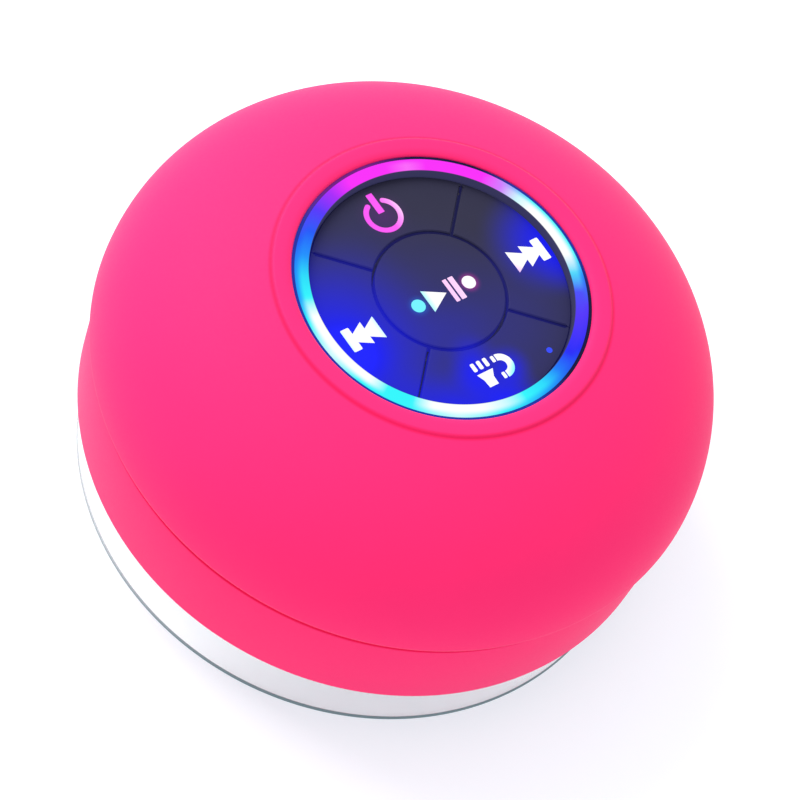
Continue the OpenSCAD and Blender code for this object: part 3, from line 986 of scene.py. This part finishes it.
@dataclass
class DomeCover:
    """Silicone cap of the body, with the raised lip round the panel."""

    belt_radius: float = 43.0
    belt_height: float = 24.46
    rise: float = 24.64
    power: float = 2.33
    panel_radius: float = 20.17
    edge_height: float = 46.31
    lip_rise: float = 0.42
    valley_radius: float = 23.1
    thickness: float = 1.6
    seam_height: float = field(default_factory=lambda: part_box("dome_cover")[0].z / MM)

    def height_at(self, radius: float, inward: float = 0.0) -> float:
        """Height of the dome's curve at a radius, for the surface that lies `inward` under the outer one."""
        share = 1 - (radius / (self.belt_radius - inward)) ** self.power
        return self.belt_height + (self.rise - inward) * max(0.0, share) ** (1 / self.power)

    def sweep(self, first: float, last: float, inward: float, steps: int) -> Outline:
        """Points of the dome's curve, closer together where it is steep.

        Args:
            first: the radius that it starts from.
            last: the radius that it ends at.
            inward: how far it lies under the outer surface.
            steps: how many pieces it is divided into.

        Returns:
            The points, ends included.
        """
        top = self.belt_radius - inward
        start, end = (math.acos(min(1.0, r / top) ** (self.power / 2)) for r in (first, last))
        angles = [start + (end - start) * i / steps for i in range(steps + 1)]
        return [
            (
                top * math.cos(a) ** (2 / self.power),
                self.belt_height + (self.rise - inward) * math.sin(a) ** (2 / self.power),
            )
            for a in angles
        ]

    def outline(self) -> Outline:
        """Draws the cover's section.

        Returns:
            The closed outline: rounded lower edge, dome, lip, and the inner face back down.
        """
        valley = self.height_at(self.valley_radius)
        crest = valley + self.lip_rise
        lower_edge = arc((self.belt_radius - 0.48, self.seam_height + 0.42), 0.42, -90, -5, 6)
        dome = self.sweep(self.belt_radius - 0.05, self.valley_radius + 0.3, 0.0, 96)
        lip = bend_through(
            [
                dome[-1], (self.valley_radius, valley), (self.valley_radius - 0.15, valley + 0.07),
                (self.valley_radius - 0.5, valley + 0.34), (self.valley_radius - 0.75, crest - 0.02),
                (self.valley_radius - 1.4, crest), (self.panel_radius + 0.8, crest - 0.03),
                (self.panel_radius + 0.28, crest - 0.20), (self.panel_radius + 0.04, self.edge_height + 0.08),
                (self.panel_radius, self.edge_height - 0.15),
            ],
            5,
        )
        inner = self.sweep(self.panel_radius, self.belt_radius - self.thickness - 0.03, self.thickness, 40)
        return [*lower_edge, *dome[:-1], *lip, *inner, (inner[-1][0], self.seam_height)]

    def build(self) -> Piece:
        """Makes the cover."""
        return settle(revolve("dome_skin", self.outline()), Body.SPEAKER, Slot.SILICONE, "dome_cover")


@dataclass
class SkirtCover:
    """Silicone band of the base, with the window for the charging flap."""

    lower_radius: float = 41.95
    upper_radius: float = 42.3
    groove_radius: float = 41.4
    groove_height: float = 1.3
    inner_radius: float = 40.3
    turned_in_radius: float = 38.5
    flap_gap: float = 0.2
    lower_height: float = field(default_factory=lambda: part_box("skirt_cover")[0].z / MM)
    upper_height: float = field(default_factory=lambda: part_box("skirt_cover")[1].z / MM)

    def outline(self) -> Outline:
        """Draws the band's section.

        Returns:
            The closed outline: lip turned in under the base, outer face, and the groove under the dome.
        """
        low, high = self.lower_height, self.upper_height
        shoulder = high - self.groove_height
        return [
            (self.turned_in_radius, low),
            *arc((self.lower_radius - 0.2, low + 0.2), 0.2, -90, 0, 5),
            *arc((self.upper_radius - 0.12, shoulder - 0.12), 0.12, 0, 90, 4),
            (self.groove_radius, shoulder),
            (self.groove_radius, high),
            (self.inner_radius, high),
            (self.inner_radius, low + 0.6),
            (self.turned_in_radius, low + 0.6),
        ]

    def build(self, flap: "PortFlap") -> Piece:
        """Makes the band and cuts the flap's window out of it.

        Args:
            flap: the flap that the window is for.

        Returns:
            The band.
        """
        band = revolve("skirt_skin", self.outline())
        cut_away(band, flap.window_cutter(self.flap_gap))
        return settle(band, Body.SPEAKER, Slot.SILICONE, "skirt_cover")


@dataclass
class PortFlap:
    """Rubber flap over the charging socket: a curved pad with a bung behind and a nail lip on top."""

    width: float = 12.2
    height: float = 8.2
    corner: float = 1.5
    thickness: float = 1.15
    face_radius: float = 42.1
    bung: tuple[float, float] = (7.0, 2.6)
    bung_corner: float = 0.9
    bung_depth: float = 1.35
    nail_lip: tuple[float, float] = (4.4, 0.9)
    nail_lip_corner: float = 0.44
    nail_lip_drop: float = 1.1
    window_reach: tuple[float, float] = (39.0, 44.0)
    centre_height: float = field(
        default_factory=lambda: sum(corner.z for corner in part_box("port_cover")) / 2 / MM
    )

    def window_cutter(self, gap: float) -> Piece:
        """Solid as wide as the flap and its gap, deep enough to cut through the band."""
        outline = rounded_rectangle(self.width + 2 * gap, self.height + 2 * gap, self.corner + gap)
        return wrapped_pad("window_cutter", outline, [(0, r) for r in self.window_reach], self.centre_height)

    def pad_layers(self) -> list[tuple[float, float]]:
        """Lays out the pad's surface.

        Returns:
            (inset, radius) of its rings, from its back over its soft edge to the middle of its face.
        """
        back, face = self.face_radius - self.thickness, self.face_radius
        spread = [(inset, back) for inset in (4.0, 3.0, 2.0, 1.0)]
        edge = [(0.15, back), (0.0, back + 0.2), (0.0, face - 0.3), (0.1, face - 0.08), (0.35, face)]
        return [*spread, *edge, (1.0, face + 0.02), (2.0, face + 0.02), (3.0, face), (4.0, face)]

    def build(self) -> list[Piece]:
        """Makes the flap.

        Returns:
            Its pad, its bung and its nail lip.
        """
        pad = wrapped_pad(
            "port_flap_pad", rounded_rectangle(self.width, self.height, self.corner), self.pad_layers(),
            self.centre_height,
        )
        bung_back = self.face_radius - self.thickness - self.bung_depth
        bung = wrapped_pad(
            "port_flap_bung", rounded_rectangle(*self.bung, self.bung_corner),
            [(0.6, bung_back), (0.25, bung_back + 0.02), (0.0, bung_back + 0.3), (0.0, bung_back + 1.5)],
            self.centre_height,
        )
        nail_lip = wrapped_pad(
            "port_flap_lip", rounded_rectangle(*self.nail_lip, self.nail_lip_corner),
            [(0.0, self.face_radius - 0.3), (0.0, self.face_radius + 0.15), (0.12, self.face_radius + 0.3)],
            self.centre_height + self.height / 2 - self.nail_lip_drop,
        )
        settle(pad, Body.FLAP, Slot.SILICONE, "port_cover")
        for extra in (bung, nail_lip):
            attach(extra, Body.FLAP, Slot.SILICONE)
        return [pad, bung, nail_lip]


@dataclass
class SuctionFoot:
    """Clear cup, its soft neck and its stud, moulded in one."""

    rim_radius: float = 40.3
    lip_thickness: float = 0.5
    slope: float = 0.18
    seat_width: float = 1.6
    neck_radius: float = 4.45
    flange_radius: float = 6.0
    flange_thickness: float = 1.1
    stud_radius: float = 3.5
    pivot_height: float = 9.0
    bend_reach: float = 2.0
    turn_steps: int = 224
    flange_height: float = field(default_factory=lambda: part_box("cup_stud")[0].z / MM)
    stud_top: float = field(default_factory=lambda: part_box("cup_stud")[1].z / MM)

    def top_at(self, radius: float) -> float:
        """Height of the cup's upper surface at a radius."""
        return self.lip_thickness + self.slope * (self.rim_radius - radius)

    def outline(self) -> Outline:
        """Draws the foot's section.

        Returns:
            The closed outline, from the seat over the rim, up the neck and stud, and back in the hollow.
        """
        upper = [(self.rim_radius, 0.0), (self.rim_radius, 0.32), *arc((40.12, 0.34), 0.17, 10, 95, 4)]
        bell = [(r, self.top_at(r)) for r in (38, 34, 30, 26, 22, 18, 14, 11)]
        throat = bend_through(
            [
                (11, self.top_at(11)), (8.4, self.top_at(8.4) + 0.12), (6.9, 6.75), (5.6, 7.25),
                (self.neck_radius, self.pivot_height - 0.4), (self.neck_radius, self.pivot_height + 0.5),
                (5.1, self.flange_height - 0.35), (5.75, self.flange_height),
            ],
            5,
        )
        flange_top = self.flange_height + self.flange_thickness
        stud = [
            (self.flange_radius, self.flange_height + 0.25), (self.flange_radius, flange_top - 0.15),
            (self.flange_radius - 0.15, flange_top), (self.stud_radius, flange_top),
            (self.stud_radius, self.stud_top - 2.6),
            (self.stud_radius + 0.8, self.stud_top - 2.4), (self.stud_radius + 0.8, self.stud_top - 1.8),
            (self.stud_radius - 0.8, self.stud_top), (0.0, self.stud_top),
        ]
        hollow = bend_through(
            [
                (0.0, 4.7), (4.0, 4.69), (8.0, 4.6), (14.0, self.top_at(14) - 1.7),
                (22.0, self.top_at(22) - 1.5), (30.0, self.top_at(30) - 1.35),
                (self.rim_radius - self.seat_width, 0.0),
            ],
            6,
        )
        return [*upper, *bell[:-1], *throat, *stud, *hollow]

    def build(self) -> Piece:
        """Makes the foot.

        Returns:
            The clear skin.
        """
        skin = revolve("suction_foot", self.outline(), self.turn_steps)
        RACK.dress(skin, FINISHES[Slot.CLEAR.value])
        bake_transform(skin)
        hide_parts("suction_cup", "cup_neck", "cup_stud")
        return skin


@dataclass
class LightRing:
    """Milky ring round the keys."""

    inner_radius: float = 17.84
    outer_radius: float = 19.69
    pipe_radius: float = 18.3
    lip_bottom: float = 43.95
    outer_height: float = field(default_factory=lambda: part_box("light_ring")[1].z / MM)
    seat_height: float = field(default_factory=lambda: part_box("light_ring")[0].z / MM)

    def outline(self) -> Outline:
        """Draws the ring's section.

        Returns:
            The closed outline, with a flat top between softened edges.
        """
        top = bend_through(
            [
                (self.outer_radius, self.outer_height - 0.20),
                (self.outer_radius - 0.05, self.outer_height - 0.04),
                (self.outer_radius - 0.2, self.outer_height),
                (self.inner_radius + 0.2, self.outer_height),
                (self.inner_radius + 0.04, self.outer_height - 0.05),
                (self.inner_radius, self.outer_height - 0.2),
            ],
            4,
        )
        return [
            (self.outer_radius, self.seat_height), *top, (self.inner_radius, self.lip_bottom),
            (self.pipe_radius, self.lip_bottom), (self.pipe_radius, self.seat_height),
        ]

    def build(self) -> Piece:
        """Makes the ring."""
        return settle(revolve("glow_ring", self.outline()), Body.SPEAKER, Slot.GUIDE, "light_ring")


# ---- carried-over parts ----


@dataclass
class CarriedParts:
    """The CAD nodes whose shape is kept: they only get their finishes."""

    own_finishes: dict[str, Finish] = field(default_factory=lambda: dict(ICON_FINISHES))

    def dress_all(self) -> list[Piece]:
        """Dresses every node in its own finish, or else in its slot's.

        Returns:
            The nodes, in the order of their names.
        """
        slots = {row["node"]: row["material_slot"] for row in frame["record"]["subparts"]}
        for name, piece in sorted(frame["nodes"].items()):
            RACK.dress(piece, self.own_finishes.get(name) or FINISHES[slots[name]])
            shade(piece, CAD_CREASE_DEGREES)
        return [piece for _, piece in sorted(frame["nodes"].items())]


# ---- studio ----


@dataclass
class Studio:
    """Plain pale floor, soft light and the camera."""

    eye: Vector = field(default_factory=lambda: Vector((-206.58, -134.20, 382.44)) * MM)
    target: Vector = field(default_factory=lambda: Vector((-3.81, -4.26, 26.14)) * MM)
    roll_degrees: float = 26.15
    lens: float = 144.71
    sensor_mm: float = 36
    nearest: float = 0.01
    sky: Colour = (0.96, 0.98, 1.0)
    sky_strength: float = 1.05
    floor_size: float = 6.0
    floor_drop: float = 0.00005
    light_way: Point = (-0.35, 0.85, 0.4)
    light_distance: float = 0.9
    light_size: float = 0.6
    light_watts: float = 8.0

    def camera_axes(self) -> Matrix:
        """Works out how the camera is turned.

        Returns:
            Its right, up and back directions as columns.
        """
        back = (self.eye - self.target).normalized()
        right = Vector((0, 0, 1)).cross(back).normalized()
        up = back.cross(right)
        turn = math.radians(self.roll_degrees)
        rolled_right = right * math.cos(turn) + up * math.sin(turn)
        rolled_up = up * math.cos(turn) - right * math.sin(turn)
        return Matrix((rolled_right, rolled_up, back)).transposed()

    def add_camera(self) -> None:
        """Makes the camera and hands it to the scene."""
        data = bpy.data.cameras.new("camera")
        data.lens = self.lens
        data.sensor_width = self.sensor_mm
        data.clip_start = self.nearest
        camera = bpy.data.objects.new("camera", data)
        camera.matrix_world = Matrix.Translation(self.eye) @ self.camera_axes().to_4x4()
        bpy.context.scene.collection.objects.link(camera)
        bpy.context.scene.camera = camera

    def add_light(self) -> None:
        """Adds one soft square light, placed by the camera's right, up and back directions."""
        data = bpy.data.lights.new("key", "AREA")
        data.size = self.light_size
        data.energy = self.light_watts
        lamp = bpy.data.objects.new("key", data)
        way = (self.camera_axes() @ Vector(self.light_way)).normalized()
        lamp.location = self.target + way * self.light_distance
        lamp.rotation_euler = way.to_track_quat("Z", "Y").to_euler()
        bpy.context.scene.collection.objects.link(lamp)

    def add_sky(self) -> None:
        """Lights everything evenly with a pale sky."""
        world = bpy.data.worlds.new("sky")
        world.use_nodes = True
        background = world.node_tree.nodes["Background"]
        background.inputs["Color"].default_value = (*self.sky, 1.0)
        background.inputs["Strength"].default_value = self.sky_strength
        bpy.context.scene.world = world

    def add_floor(self) -> None:
        """Lays the floor just under the cup."""
        half = self.floor_size / 2
        corners = [(-half, -half), (half, -half), (half, half), (-half, half)]
        floor = piece_from("floor", [(x, y, -self.floor_drop) for x, y in corners], [(0, 1, 2, 3)])
        pale = Finish(
            "pale floor", (0.55, 0.55, 0.55), roughness=0.7, spread=0.01, relief_mm=0.0, specular=0.1,
            glow=(0.45, 0.50, 0.55),
        )
        floor.data.materials.append(pale.material())

    def build(self) -> None:
        """Sets the whole studio up."""
        self.add_camera()
        self.add_sky()
        self.add_floor()
        self.add_light()
        bpy.context.scene.view_settings.view_transform = "Standard"


def report(pieces: list[Piece]) -> None:
    """Logs how many faces each piece has, and its finish."""
    for piece in pieces:
        log.info("%s: %d faces in %s", piece.name, len(piece.data.polygons), piece.data.materials[0].name)


def main() -> None:
    logging.basicConfig(level=logging.INFO, format="%(name)s %(message)s")
    Studio().build()
    report(CarriedParts().dress_all())
    flap = PortFlap()
    report([DomeCover().build(), SkirtCover().build(flap), *flap.build()])
    report([SuctionFoot().build(), LightRing().build()])


if __name__ == "__main__":
    main()
